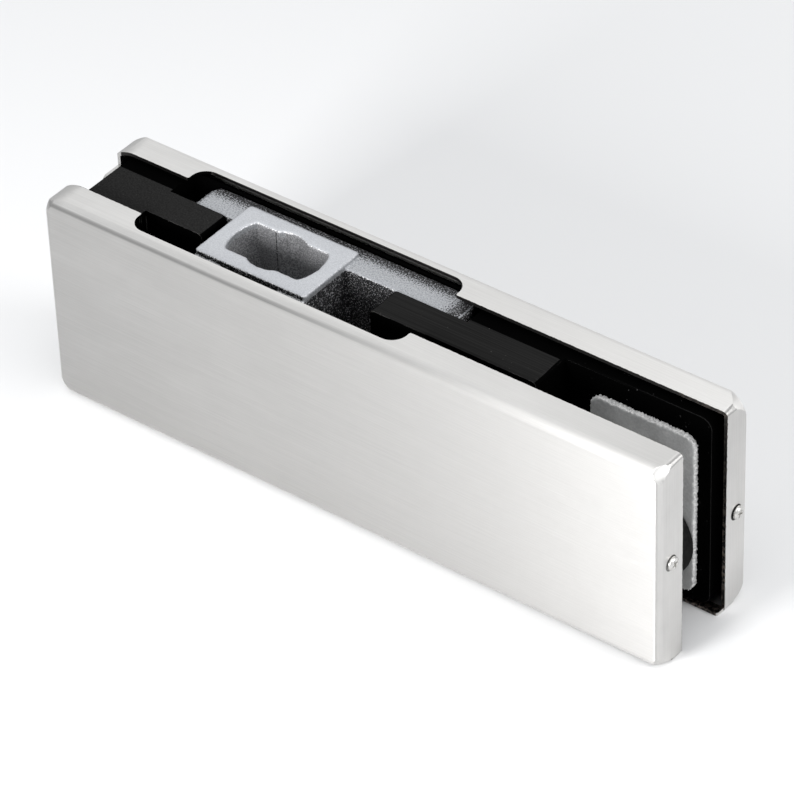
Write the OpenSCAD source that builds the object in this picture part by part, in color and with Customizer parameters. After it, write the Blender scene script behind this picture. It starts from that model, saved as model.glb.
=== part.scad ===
// Glass door patch fitting, standing with its spindle socket facing up.
// X runs along the fitting, from the closed end (-X) to the glass end (+X).
// Y runs through its thickness, with the front cover at -Y. Z is up, from the lower lips.

/* [Overall] */
// Length over the covers
length = 164; // [150:1:190]
// Thickness over the covers
depth = 32; // [31:0.5:40]
// Height over the covers
height = 53.5; // [50:0.5:60]

/* [Covers] */
// Thickness of the stainless sheet
sheet_t = 0.8; // [0.7:0.1:1.2]
// Gap between the top lips of the two covers
lip_gap = 15.8; // [14:0.2:18]
// Gap between their bottom lips, which reach further in
low_lip_gap = 11; // [10.6:0.1:13]
// Corner radius of the bottom lips
low_lip_r = 1.4; // [1:0.1:3]
// Outer radius of the long folds
fold_r = 2.4; // [1.6:0.1:3]
// Outer radius of the upright corners
corner_r = 1.6; // [1.2:0.1:4]
// Radius where the top lips meet the end lips
lip_corner_r = 1.3; // [0.5:0.1:2]
// Radius where the bottom lips meet the end lips
low_corner_r = 0.5; // [0.3:0.1:2]
// Radius of the bow of the long lips at the closed end
bow_r = 8; // [6:0.1:12]
// Length of that bow
bow_reach = 5; // [3:0.1:5.5]
// Set-back of the rear cover at the closed end
rear_setback = 1.3; // [0:0.1:1.5]
// Radius of the balls that round off the face's corners
ball_r = 10; // [5:0.1:10]
// Reach of the top notch from the pivot to the closed end
notch_left_reach = 31; // [29:0.5:36]
// Reach of the top notch from the pivot to the glass end
notch_right_reach = 42; // [36:0.5:48]
// Depth of the notch, in from the lip's edge
notch_depth = 5; // [4:0.1:5.5]
// Radius of the notch's inner corners
notch_r = 3.8; // [2:0.1:4]
// Radius of the notch's mouth
mouth_r = 0.5; // [0.3:0.1:1.5]
// Gap between the two tabs at the closed end
tab_gap = 4.8; // [3:0.1:8]
// Drop from the cover's top to the tabs
tab_drop = 4.8; // [4:0.1:12]
// Corner radius of the tabs
tab_r = 1.4; // [0.6:0.1:2.5]

/* [Cast halves] */
// Gap between the inner faces of the halves
body_gap = 12.6; // [12:0.1:14]
// Clearance from a casting to its cover
cover_clear = 0.2; // [0.1:0.05:0.4]
// Room between a casting's end and the cover's end lip
end_room = 1.9; // [0.8:0.1:3]
// Room between a casting's top and the cover's top lip
top_room = 1.5; // [0.6:0.1:2]
// Corner radius of the castings
body_corner_r = 2.8; // [1:0.1:5]
// Radius of the castings' long outer edges, inside the covers' folds
body_edge_r = 2.4; // [1.6:0.1:3]
// Height of the pockets' floor and of the undersides of block and bar
pocket_floor = 29.6; // [27:0.1:34]
// Thickness of the tongue and the bar
tongue_w = 8.6; // [7:0.1:9.4]
// Gap between the end block and the front casting
block_clear = 0.4; // [0.2:0.1:1]
// Room between the castings' end and the end block
block_inset = 1; // [0.5:0.1:3]
// Edge radius of block, tongue and bar
rib_edge_r = 1.2; // [0.5:0.1:2]
// Length of the glass slot, from the cover's end to the bar
slot_length = 39.5; // [36:0.5:44]
// Free length between the insert's head and the bar
bar_room = 13.3; // [8:0.1:18]
// Depth of the cored recesses in the outer faces
core_depth = 2.4; // [1:0.1:2.8]
// Width of the ribs left round the cored recesses
core_rib = 3; // [2:0.1:5]

/* [Pivot insert] */
// Distance from the closed end to the pivot axis
pivot_setback = 52.7; // [50:0.1:58]
// Length of the insert's head
head_length = 30; // [27:0.5:33]
// Width of the insert's head
head_w = 19.6; // [17:0.1:21]
// Drop from the cover's top to the head's top
head_drop = 1.5; // [0.5:0.1:3]
// Corner radius of the head
head_r = 1.2; // [0.5:0.1:3]
// Reach of the insert's plate from the pivot to the closed end
plate_left_reach = 27.2; // [24:0.1:29]
// Reach of the insert's plate from the pivot to the glass end
plate_right_reach = 45.8; // [38:0.1:48]
// Thickness of the rear casting's wall behind the plate
rear_wall_t = 2.1; // [1.6:0.1:4]
// Step from the head's top down to the plate's top
plate_step = 1.3; // [0.5:0.1:3]
// Corner radius of the plate's ends
plate_corner_r = 5; // [2:0.1:6]
// Radius of the plate's top edge at the rear
plate_edge_r = 0.8; // [0.4:0.1:3]
// Radius of the plate's top edges at both ends
plate_end_r = 1.6; // [0.4:0.1:5]
// Length of the two lugs on the head's front
lug_length = 7.3; // [5:0.1:10]
// Thickness of the lugs
lug_t = 0.8; // [0.4:0.1:0.9]
// Step from the head's top down to the lugs
lug_step = 1.4; // [0.8:0.1:4]
// Clearance round the sliding insert
slide_clear = 0.2; // [0.1:0.05:0.4]
// Room in front of the head
head_room = 1.2; // [0.5:0.1:2]
// Room to slide towards the closed end
left_travel = 2.5; // [1.5:0.1:4]
// Room to slide towards the glass end
right_travel = 2; // [1:0.1:3]
// Room left of the plate in its pocket
plate_room = 6; // [4:0.1:8]
// Width of the spindle socket
socket_w = 11; // [9:0.1:13]
// Radius of the socket's round ends
socket_end_r = 11.3; // [9:0.1:12]
// Radius of the socket's round middle
socket_mid_r = 6.8; // [6:0.1:8]
// Depth of the socket
socket_depth = 20.6; // [12:0.1:21]

/* [Gaskets and bushes] */
// Thickness of the fibre gaskets
gasket_t = 1.5; // [0.8:0.1:2]
// Length of the gasket's tall pad
pad_length = 26.5; // [24:0.5:30]
// Inset of the gasket from the casting's end
gasket_end = 3.3; // [2:0.1:5]
// Inset of the gasket from the casting's bottom
gasket_bottom = 2.8; // [2:0.1:5]
// Inset of the tall pad from the casting's top
gasket_top = 5.6; // [4:0.1:8]
// Gap between the gasket's long strip and the pockets' floor
strip_drop = 3; // [1:0.1:6]
// Corner radius of the gasket
gasket_r = 3; // [1:0.1:5]
// Gap between a bush and the end block above it
bush_room = 1; // [0.5:0.1:3]
// Distance from the covers' ends to the clamp screws
clamp_inset = 17.2; // [15:0.1:19]
// Height of the clamp screws
clamp_z = 17; // [15:0.5:17]
// Gap between a bush and the gasket it faces
bush_clear = 0.2; // [0.1:0.05:0.4]
// Chamfer of the bushes
bush_chamfer = 0.6; // [0.3:0.1:1]

/* [Screws] */
// Diameter of the clamp screws
clamp_d = 8; // [6:0.5:8]
// Diameter of the clamp screws' heads
clamp_head_d = 13; // [11:0.5:14]
// Height of the clamp screws' heads
clamp_head_h = 5; // [4:0.1:5.4]
// Hexagon of the clamp screws, across flats
clamp_hex = 5; // [4:0.5:6]
// Depth of the clamp screws' hexagons
clamp_hex_depth = 2.8; // [1.5:0.1:3.5]
// Sink of the clamp screws' heads below the casting's face
head_sink = 0.6; // [0.2:0.1:1]
// Gap from the clamp screws' tips to the casting's outer face
tip_sink = 1; // [0.5:0.1:2]
// Diameter of the cover screws
cover_screw_d = 2.2; // [2:0.1:3]
// Diameter of the cover screws' heads
cover_head_d = 3.4; // [3.2:0.1:5]
// Height of the cover screws' heads
cover_head_h = 1.1; // [0.8:0.1:2]
// Length of the cover screws under the head
cover_screw_length = 7; // [6:0.5:10]
// Distance of the cover screws from the middle plane
cover_screw_y = 11.9; // [10:0.1:12.4]
// Height of the front cover's screws
front_screw_z = 27.3; // [20:0.1:30]
// Height of the rear cover's screws
rear_screw_z = 24.6; // [20:0.1:30]
// Diameter of the lock screws
lock_d = 6; // [4:0.5:8]
// Hexagon of the lock screws, across flats
lock_hex = 3; // [2:0.5:4]
// Depth of the lock screws' hexagons
lock_hex_depth = 1.2; // [0.6:0.1:1.6]
// Radial clearance of a thread in its hole
thread_clear = 0.06; // [0.02:0.01:0.1]
// Radial clearance of a screw in a plain hole
hole_clear = 0.25; // [0.15:0.05:0.5]

/* [Hidden] */
$fn = 64;
over = 1;

// Covers
end_x = length / 2;
face_y = depth / 2;
lip_y = lip_gap / 2;
low_lip_y = min(low_lip_gap / 2, lip_y);
tab_top = height - tab_drop;
ball_in = ball_r - (ball_r - lip_corner_r) * 0.3;
inner_r = 0.2;

// Castings
body_end = end_x - sheet_t - end_room;
body_y = body_gap / 2;
body_back = face_y - sheet_t - cover_clear;
body_low = sheet_t + cover_clear;
body_top = height - sheet_t - top_room;
rear_pocket_y = body_back - rear_wall_t;

// Pivot insert
pivot_x = pivot_setback - end_x;
head_x0 = pivot_x - head_length / 2;
head_x1 = pivot_x + head_length / 2;
head_top = height - head_drop;
insert_low = pocket_floor + slide_clear;
plate_x0 = pivot_x - plate_left_reach;
plate_x1 = pivot_x + plate_right_reach;
plate_y0 = tongue_w / 2 + slide_clear;
plate_y1 = rear_pocket_y - slide_clear;
plate_top = head_top - plate_step;
lug_top = head_top - lug_step;

// Pockets, block and bar
pocket_x0 = plate_x0 - plate_room;
pocket_x1 = plate_x1 + right_travel;
front_pocket_y = head_w / 2 + head_room;
block_x0 = block_inset - body_end;
tongue_end = head_x0 - left_travel;
bar_x0 = head_x1 + bar_room;
bar_x1 = end_x - slot_length;

// Gaskets, bushes and screws
gasket_face = body_y - gasket_t;
gasket_x1 = body_end - gasket_end;
gasket_z0 = body_low + gasket_bottom;
strip_top = pocket_floor - strip_drop;
clamp_x = end_x - clamp_inset;
clamp_r = clamp_d / 2;
bush_r = pocket_floor - clamp_z - bush_room;
bush_half = gasket_face - bush_clear;
head_outer = body_back - head_sink;
head_seat = head_outer - clamp_head_h;
clamp_tip = body_back - tip_sink;
cover_screw_r = cover_screw_d / 2;
dome_r = cover_head_d * 0.87;
lock_xs = [(plate_x0 + head_x0) / 2, (head_x1 + plate_x1) / 2];
lock_z = (insert_low + plate_top) / 2;
lock_r = lock_d / 2;
lock_length = body_back - rear_pocket_y;
lock_recess = min(lock_hex_depth, lock_length * 0.6);

steel = [0.78, 0.77, 0.75];
black = [0.06, 0.06, 0.06];
cast_grey = [0.62, 0.63, 0.65];
fibre_grey = [0.45, 0.45, 0.45];
zinc = [0.7, 0.7, 0.7];

// Where a cover's end lies, at either end, with its closed end set back
function end_place(way, setback) = way > 0 ? end_x : setback - end_x;

// A rectangle whose chosen corners are round: low left, low right, high right, high left
module soft_rect(x0, x1, y0, y1, r, soft = [true, true, true, true]) {
    corners = [[x0, y0], [x1, y0], [x1, y1], [x0, y1]];
    inward = [[1, 1], [-1, 1], [-1, -1], [1, -1]];
    difference() {
        translate([x0, y0]) square([x1 - x0, y1 - y0]);
        for (i = [0:3]) if (soft[i]) translate(corners[i]) corner_cut(inward[i], r);
    }
}

// What comes off a square corner to leave a round one
module corner_cut(inward, r) {
    size = r + over;
    difference() {
        translate([inward[0] > 0 ? -over : -r, inward[1] > 0 ? -over : -r]) square(size);
        translate(inward * r) circle(r);
    }
}

// Extrudes a (y, z) outline along X
module along_x(x0, x1) {
    translate([x0, 0, 0]) rotate([90, 0, 90]) linear_extrude(x1 - x0) children();
}

// Extrudes an (x, z) outline along Y
module along_y(y0, y1) {
    translate([0, y1, 0]) rotate([90, 0, 0]) linear_extrude(y1 - y0) children();
}

// Turns a shape built up +Z so that it points along +Y at a place on the fitting
module point_y(x, y, z) {
    translate([x, y, z]) rotate([-90, 0, 0]) children();
}

// Turns a shape built up +Z so that it points along +X or -X
module point_x(x, y, z, way) {
    translate([x, y, z]) rotate([0, 90 * way, 0]) children();
}

// Puts a rear piece on the front half
module to_front() {
    mirror([0, 1, 0]) children();
}

// The cover's outer form, or its hollow when inset by the sheet's thickness
module cover_form(inset, setback) {
    x0 = setback + inset - end_x;
    x1 = end_x - inset;
    y0 = lip_y - (inset > 0 ? over : 0);
    y1 = face_y - inset;
    z0 = inset;
    z1 = height - inset;
    difference() {
        intersection() {
            along_y(y0, y1)
                soft_rect(x0, x1, z0, z1, max(lip_corner_r - inset, inner_r), [false, false, true, true]);
            along_y(y0, y1)
                soft_rect(x0, x1, z0, z1, max(low_corner_r - inset, inner_r), [true, true, false, false]);
            along_x(x0, x1) soft_rect(y0, y1, z0, z1, fold_r - inset, [false, true, true, false]);
            translate([0, 0, z0]) linear_extrude(z1 - z0)
                soft_rect(x0, x1, y0, y1, corner_r - inset, [false, false, true, true]);
        }
        for (up = [-1, 1]) {
            bow_cut(up, setback - end_x, inset);
            ball_cut(-1, up, setback - end_x, inset);
            ball_cut(1, up, end_x, inset);
        }
    }
}

// What comes off a corner of the face, outside a ball centred in from its three sides
module ball_cut(way, up, x, inset) {
    size = ball_r + over;
    translate([x - way * ball_in, face_y - ball_in, up > 0 ? height - ball_in : ball_in]) difference() {
        translate([way > 0 ? 0 : -size, 0, up > 0 ? 0 : -size]) cube(size);
        sphere(ball_r - inset);
    }
}

// The bottom lip's inner strip, clear of the bow
module low_lip(setback) {
    intersection() {
        linear_extrude(sheet_t)
            soft_rect(setback + bow_reach - end_x, end_x, low_lip_y, lip_y + over, low_lip_r,
                [true, true, false, false]);
        along_y(low_lip_y - over, lip_y + 2 * over)
            soft_rect(setback - end_x, end_x, 0, height, low_corner_r, [true, true, false, false]);
    }
}

// What comes off a long lip at the closed end, so that it bows towards the middle
module bow_cut(up, x, inset) {
    along_y(lip_y - 2 * over, face_y + over)
        translate([x + bow_reach, up > 0 ? height - bow_r : bow_r]) difference() {
            translate([-bow_reach - over, up > 0 ? 0 : -bow_r - over])
                square([bow_reach + over, bow_r + over]);
            circle(bow_r - inset);
        }
}

// The notch in the top lip, with round inner corners and an eased mouth
module lip_notch() {
    x0 = pivot_x - notch_left_reach;
    x1 = pivot_x + notch_right_reach;
    translate([0, 0, height - sheet_t - over]) linear_extrude(sheet_t + 2 * over) {
        soft_rect(x0, x1, lip_y - over, lip_y + notch_depth, notch_r, [false, false, true, true]);
        translate([x0, lip_y]) rotate(180) corner_cut([1, -1], mouth_r);
        translate([x1, lip_y]) rotate(180) corner_cut([-1, -1], mouth_r);
    }
}

module cover(screw_z, setback) {
    color(steel) difference() {
        union() {
            difference() {
                cover_form(0, setback);
                cover_form(sheet_t, setback);
            }
            low_lip(setback);
            along_x(setback - end_x, setback + sheet_t - end_x)
                soft_rect(tab_gap / 2, lip_y + corner_r, pocket_floor, tab_top, tab_r,
                    [true, false, false, true]);
        }
        lip_notch();
        for (way = [-1, 1])
            point_x(end_place(way, setback) - way * (sheet_t + over), cover_screw_y, screw_z, way)
                cylinder(r = cover_screw_r + hole_clear, h = sheet_t + 2 * over);
    }
}

module front_cover() {
    to_front() cover(front_screw_z, 0);
}

module rear_cover() {
    cover(rear_screw_z, rear_setback);
}

// The slab that both castings start from, with its tapped ends
module body_slab(screw_z, setback) {
    difference() {
        intersection() {
            along_y(body_y, body_back) soft_rect(-body_end, body_end, body_low, body_top, body_corner_r);
            along_x(-body_end, body_end)
                soft_rect(body_y, body_back, body_low, body_top, body_edge_r, [false, true, true, false]);
        }
        for (way = [-1, 1])
            point_x(end_place(way, setback) - way * (cover_screw_length + over), cover_screw_y, screw_z, way)
                cylinder(r = cover_screw_r + thread_clear, h = cover_screw_length + over);
    }
}

// A pocket for the insert, open at the top and towards the other half
module insert_pocket(y1) {
    translate([pocket_x0, 0, pocket_floor]) cube([pocket_x1 - pocket_x0, y1, height]);
}

// Cored recesses in the outer face, between the clamp screws and under the pocket
module cores() {
    x1 = clamp_x - clamp_head_d / 2 - core_rib;
    z1 = pocket_floor - core_rib;
    z0 = body_low + core_rib;
    w = (2 * x1 - 2 * core_rib) / 3;
    for (i = [0:2])
        along_y(body_back - core_depth, body_back + over)
            soft_rect(-x1 + i * (w + core_rib), -x1 + i * (w + core_rib) + w, z0, z1, core_rib / 2);
}

module rear_body() {
    color(black) difference() {
        union() {
            difference() {
                body_slab(rear_screw_z, rear_setback);
                insert_pocket(rear_pocket_y);
            }
            rib(block_x0, pocket_x0, block_clear - body_y, body_y, [false, false, false, true]);
            rib(pocket_x0, tongue_end, -tongue_w / 2, tongue_w / 2, [false, false, true, false]);
            rib(bar_x0, pocket_x1, -tongue_w / 2, tongue_w / 2, [false, false, false, true]);
            rib(pocket_x1, bar_x1, -tongue_w / 2, body_y, [false, false, true, false]);
        }
        for (x = [-clamp_x, clamp_x])
            point_y(x, body_y - over, clamp_z)
                cylinder(r = clamp_r + thread_clear, h = body_back - body_y + 2 * over);
        for (x = lock_xs)
            point_y(x, rear_pocket_y - over, lock_z)
                cylinder(r = lock_r + thread_clear, h = lock_length + 2 * over);
        cores();
    }
}

// One stretch of the end block or the bar, with round edges where they are free
module rib(x0, x1, y0, y1, soft) {
    along_y(y0, y1) soft_rect(x0, x1, pocket_floor, body_top, rib_edge_r, soft);
}

module front_body() {
    color(black) to_front() difference() {
        body_slab(front_screw_z, 0);
        insert_pocket(front_pocket_y);
        for (x = [-clamp_x, clamp_x]) {
            point_y(x, body_y - over, clamp_z)
                cylinder(r = clamp_r + hole_clear, h = body_back - body_y + 2 * over);
            point_y(x, head_seat, clamp_z)
                cylinder(r = clamp_head_d / 2 + hole_clear, h = body_back - head_seat + over);
        }
        cores();
    }
}

// The cast insert: a socket head with two lugs in front and a plate behind it
module pivot_insert() {
    color(cast_grey) difference() {
        union() {
            translate([0, 0, insert_low]) linear_extrude(head_top - insert_low)
                soft_rect(head_x0, head_x1, -head_w / 2, head_w / 2, head_r);
            intersection() {
                translate([0, 0, insert_low]) linear_extrude(plate_top - insert_low)
                    soft_rect(plate_x0, plate_x1, plate_y0, plate_y1, plate_corner_r,
                        [false, false, true, true]);
                along_x(plate_x0, plate_x1)
                    soft_rect(plate_y0, plate_y1, insert_low, plate_top, plate_edge_r,
                        [false, false, true, false]);
                along_y(plate_y0, plate_y1)
                    soft_rect(plate_x0, plate_x1, insert_low, plate_top, plate_end_r,
                        [false, false, true, true]);
            }
            for (x = [head_x0, head_x1 - lug_length])
                along_x(x, x + lug_length)
                    soft_rect(-head_w / 2 - lug_t, -socket_w / 2 - over, insert_low, lug_top, lug_t / 2,
                        [false, false, false, true]);
        }
        translate([pivot_x, 0, head_top - socket_depth]) linear_extrude(socket_depth + over) socket_outline();
    }
}

// Flat-sided spindle socket with round ends and a round middle
module socket_outline() {
    intersection() {
        square([2 * socket_end_r + over, socket_w], center = true);
        circle(socket_end_r);
    }
    circle(socket_mid_r);
}

// L-shaped fibre sheet: a tall pad in the glass slot and a strip under the pockets
module gasket() {
    color(fibre_grey) along_y(gasket_face, body_y) difference() {
        union() {
            soft_rect(gasket_x1 - pad_length, gasket_x1, gasket_z0, body_top - gasket_top, gasket_r);
            soft_rect(-gasket_x1, gasket_x1, gasket_z0, strip_top, gasket_r);
        }
        for (x = [-clamp_x, clamp_x]) translate([x, clamp_z]) circle(clamp_r + 2 * hole_clear);
    }
}

module front_gasket() {
    to_front() gasket();
}

module rear_gasket() {
    gasket();
}

// Sleeve that keeps the glass off a clamp screw
module bush(x) {
    bore = clamp_r + hole_clear;
    c = bush_chamfer;
    color(black) point_y(x, -bush_half, clamp_z) rotate_extrude()
        polygon([[bore, 0], [bush_r - c, 0], [bush_r, c], [bush_r, 2 * bush_half - c],
            [bush_r - c, 2 * bush_half], [bore, 2 * bush_half]]);
}

module left_bush() {
    bush(-clamp_x);
}

module right_bush() {
    bush(clamp_x);
}

// Low-head socket screw, from the front half into the rear one
module clamp_screw(x) {
    tip = clamp_tip + head_outer;
    ease = clamp_r / 5;
    cap_r = clamp_head_d / 2;
    color(zinc) point_y(x, -head_outer, clamp_z) difference() {
        rotate_extrude()
            polygon([[0, 0], [cap_r - ease, 0], [cap_r, ease], [cap_r, clamp_head_h],
                [clamp_r, clamp_head_h], [clamp_r, tip - ease], [clamp_r - ease, tip], [0, tip]]);
        translate([0, 0, -over]) cylinder(d = clamp_hex / cos(30), h = clamp_hex_depth + over, $fn = 6);
    }
}

module left_clamp_screw() {
    clamp_screw(-clamp_x);
}

module right_clamp_screw() {
    clamp_screw(clamp_x);
}

// Set screw through the rear casting, flush with its outer face
module lock_screw(x) {
    color(zinc) point_y(x, rear_pocket_y, lock_z) difference() {
        cylinder(r = lock_r, h = lock_length);
        translate([0, 0, lock_length - lock_recess])
            cylinder(d = lock_hex / cos(30), h = lock_recess + over, $fn = 6);
    }
}

module left_lock_screw() {
    lock_screw(lock_xs[0]);
}

module right_lock_screw() {
    lock_screw(lock_xs[1]);
}

// Pan-head screw with a cross recess, through a cover's end lip into its casting
module cover_screw(way, side, z, setback) {
    slot_w = cover_head_d / 7;
    slot_l = cover_head_d * 0.58;
    slot_depth = cover_head_h * 0.6;
    color(zinc) point_x(end_place(way, setback), side * cover_screw_y, z, way) difference() {
        union() {
            translate([0, 0, -cover_screw_length]) cylinder(r = cover_screw_r, h = cover_screw_length);
            rotate_extrude() intersection() {
                square([cover_head_d / 2, cover_head_h]);
                translate([0, cover_head_h - dome_r]) circle(dome_r);
            }
        }
        for (turn = [0, 90])
            rotate(turn) translate([-slot_l / 2, -slot_w / 2, cover_head_h - slot_depth])
                cube([slot_l, slot_w, slot_depth + over]);
    }
}

module front_left_screw() {
    cover_screw(-1, -1, front_screw_z, 0);
}

module front_right_screw() {
    cover_screw(1, -1, front_screw_z, 0);
}

module rear_left_screw() {
    cover_screw(-1, 1, rear_screw_z, rear_setback);
}

module rear_right_screw() {
    cover_screw(1, 1, rear_screw_z, rear_setback);
}

front_cover();
rear_cover();
front_body();
rear_body();
pivot_insert();
front_gasket();
rear_gasket();
left_bush();
right_bush();
left_clamp_screw();
right_clamp_screw();
left_lock_screw();
right_lock_screw();
front_left_screw();
front_right_screw();
rear_left_screw();
rear_right_screw();
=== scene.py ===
import math

import bpy
from mathutils import Matrix, Vector


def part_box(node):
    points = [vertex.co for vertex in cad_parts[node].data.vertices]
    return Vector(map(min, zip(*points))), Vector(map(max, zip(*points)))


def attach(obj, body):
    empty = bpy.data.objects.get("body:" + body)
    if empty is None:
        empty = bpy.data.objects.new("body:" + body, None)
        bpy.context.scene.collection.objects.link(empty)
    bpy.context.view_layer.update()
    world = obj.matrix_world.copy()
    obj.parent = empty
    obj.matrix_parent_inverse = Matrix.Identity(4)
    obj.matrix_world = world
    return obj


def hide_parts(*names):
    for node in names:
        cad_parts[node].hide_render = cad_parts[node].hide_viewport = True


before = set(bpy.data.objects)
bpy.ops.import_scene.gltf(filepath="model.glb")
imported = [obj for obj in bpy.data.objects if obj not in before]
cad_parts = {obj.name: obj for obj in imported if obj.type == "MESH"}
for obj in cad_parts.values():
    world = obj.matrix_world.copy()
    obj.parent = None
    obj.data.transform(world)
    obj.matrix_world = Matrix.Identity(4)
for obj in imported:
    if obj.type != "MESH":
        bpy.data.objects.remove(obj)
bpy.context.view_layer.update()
mm = 0.001
spare = 1 * mm  # how far a cutter runs past what it cuts
print("frame loaded,", len(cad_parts), "nodes")


# Working tools: selecting, adding and joining pieces

def leaveAll():  # back to object mode with nothing selected
    if bpy.context.object and bpy.context.object.mode != "OBJECT":
        bpy.ops.object.mode_set(mode="OBJECT")
    bpy.ops.object.select_all(action="DESELECT")


def makeActive(piece):
    leaveAll()
    piece.select_set(True)
    bpy.context.view_layer.objects.active = piece


def settle(piece):  # place, turn and size go into the mesh
    makeActive(piece)
    bpy.ops.object.transform_apply(location=True, rotation=True, scale=True)
    return piece


def middleOf(node):
    low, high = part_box(node)
    return (low + high) / 2


def addBox(name, a, b):  # a box between two opposite corners
    leaveAll()
    low = Vector(map(min, a, b))
    high = Vector(map(max, a, b))
    bpy.ops.mesh.primitive_cube_add(size=1, location=(low + high) / 2)
    piece = bpy.context.object
    piece.name = name
    piece.scale = high - low
    return settle(piece)


def addRod(name, radius, start, end, sides):  # a cylinder between two points
    leaveAll()
    start = Vector(start)
    end = Vector(end)
    run = end - start
    bpy.ops.mesh.primitive_cylinder_add(vertices=sides, radius=radius, depth=run.length,
                                        location=(start + end) / 2,
                                        rotation=run.to_track_quat("Z", "Y").to_euler())
    piece = bpy.context.object
    piece.name = name
    return settle(piece)


def addCrossRod(name, radius, middle, fromY, toY, sides):  # a cylinder across the fitting
    return addRod(name, radius, (middle.x, fromY, middle.z), (middle.x, toY, middle.z), sides)


def addBall(name, radius, centre):
    leaveAll()
    bpy.ops.mesh.primitive_uv_sphere_add(segments=96, ring_count=48, radius=radius, location=centre)
    piece = bpy.context.object
    piece.name = name
    return settle(piece)


def modify(piece, kind, **settings):  # adds a modifier and applies it
    makeActive(piece)
    modifier = piece.modifiers.new(kind.lower(), kind)
    for key, value in settings.items():
        setattr(modifier, key, value)
    bpy.ops.object.modifier_apply(modifier=modifier.name)
    return piece


def combine(piece, other, operation):  # boolean with a piece that is used up
    modify(piece, "BOOLEAN", object=other, operation=operation, solver="EXACT")
    bpy.data.objects.remove(other, do_unlink=True)
    return piece


def editSelected(piece, selectMode, part, test):  # edit mode, with only what passes the test selected
    makeActive(piece)
    bpy.ops.object.mode_set(mode="EDIT")
    bpy.ops.mesh.select_mode(type=selectMode)
    bpy.ops.mesh.select_all(action="DESELECT")
    bpy.ops.object.mode_set(mode="OBJECT")
    points = [v.co.copy() for v in piece.data.vertices]
    for item in getattr(piece.data, part):
        item.select = test(item, points)
    bpy.ops.object.mode_set(mode="EDIT")


def near(a, b, slack=0.02 * mm):
    return abs(a - b) < slack


def runsAlong(axis, **where):  # test for edges along an axis, at given places on the other axes
    def test(edge, points):
        a, b = (points[i] for i in edge.vertices)
        if abs((b - a).normalized()["xyz".index(axis)]) < 0.99:
            return False
        return all(near((a["xyz".index(k)] + b["xyz".index(k)]) / 2, place) for k, place in where.items())
    return test


def bevelEdges(piece, test, radius, segments):
    editSelected(piece, "EDGE", "edges", test)
    bpy.ops.mesh.bevel(offset=radius, offset_type="OFFSET", segments=segments, affect="EDGES",
                       clamp_overlap=True)
    bpy.ops.object.mode_set(mode="OBJECT")
    return piece


def foldEdges(piece, rules, segments):  # rounds several edges that meet, each with its own radius
    widest = max(radius for _, radius in rules)
    points = [v.co.copy() for v in piece.data.vertices]
    weights = piece.data.attributes.new("bevel_weight_edge", "FLOAT", "EDGE")
    for edge in piece.data.edges:
        for test, radius in rules:
            if test(edge, points):
                weights.data[edge.index].value = radius / widest
    return modify(piece, "BEVEL", limit_method="WEIGHT", width=widest, segments=segments)


seams = dict(weld=0.004 * mm, sliver=0.002 * mm, holeSides=8)


def closeSeams(piece):  # welds and fills the hairline slits that booleans leave
    editSelected(piece, "VERT", "vertices", lambda vertex, points: True)
    bpy.ops.mesh.remove_doubles(threshold=seams["weld"])
    bpy.ops.mesh.dissolve_degenerate(threshold=seams["sliver"])
    bpy.ops.mesh.select_all(action="SELECT")
    bpy.ops.mesh.fill_holes(sides=seams["holeSides"])
    bpy.ops.mesh.select_mode(type="FACE")
    bpy.ops.mesh.select_all(action="DESELECT")
    bpy.ops.mesh.select_interior_faces()
    bpy.ops.mesh.delete(type="FACE")
    bpy.ops.object.mode_set(mode="OBJECT")
    return piece


def smoothShade(piece, angle=35):
    makeActive(piece)
    bpy.ops.object.shade_smooth_by_angle(angle=math.radians(angle))
    return modify(piece, "WEIGHTED_NORMAL", keep_sharp=True)


def easeEdges(piece, width, segments=2, angle=35, shade=35):  # small round on sharp edges, clean shading
    modify(piece, "BEVEL", limit_method="ANGLE", angle_limit=math.radians(angle), width=width,
           segments=segments)
    return smoothShade(closeSeams(piece), shade)


def remesh(piece, voxel):  # even, closed skin with softened edges
    modify(piece, "REMESH", mode="VOXEL", voxel_size=voxel)
    return modify(piece, "SMOOTH", factor=0.5, iterations=1)


def roughen(piece, depth, grain, flatShare, onRim):  # uneven skin, stronger where the rim test holds
    rim = piece.vertex_groups.new(name="rim")
    for vertex in piece.data.vertices:
        rim.add([vertex.index], 1.0 if onRim(vertex) else flatShare, "REPLACE")
    skin = bpy.data.textures.new(piece.name + "Skin", "CLOUDS")
    skin.noise_scale = grain
    skin.noise_depth = 2
    modify(piece, "DISPLACE", texture=skin, texture_coords="LOCAL", strength=depth, mid_level=0.5,
           vertex_group="rim")
    piece.vertex_groups.clear()
    makeActive(piece)
    bpy.ops.object.shade_smooth()
    return piece


def finishPiece(piece, body, slot, material, *nodes):
    piece.data.materials.clear()
    piece.data.materials.append(material)
    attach(piece, body)
    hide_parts(*nodes)
    print("made", piece.name)


# Materials

def startMaterial(name):
    material = bpy.data.materials.new(name)
    material.use_nodes = True
    tree = material.node_tree
    tree.nodes.clear()
    output = tree.nodes.new("ShaderNodeOutputMaterial")
    shader = tree.nodes.new("ShaderNodeBsdfPrincipled")
    tree.links.new(shader.outputs["BSDF"], output.inputs["Surface"])
    return material, tree, shader


def addNode(tree, kind, inputs=None, **settings):  # a node with its sockets set or linked
    made = tree.nodes.new("ShaderNode" + kind)
    for key, value in settings.items():
        setattr(made, key, value)
    for key, value in (inputs or {}).items():
        if isinstance(value, bpy.types.NodeSocket):
            tree.links.new(value, made.inputs[key])
        else:
            made.inputs[key].default_value = value
    return made


def axesOf(tree, vector):  # the X, Y and Z of a vector socket
    return addNode(tree, "SeparateXYZ", {"Vector": vector}).outputs[:]


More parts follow.
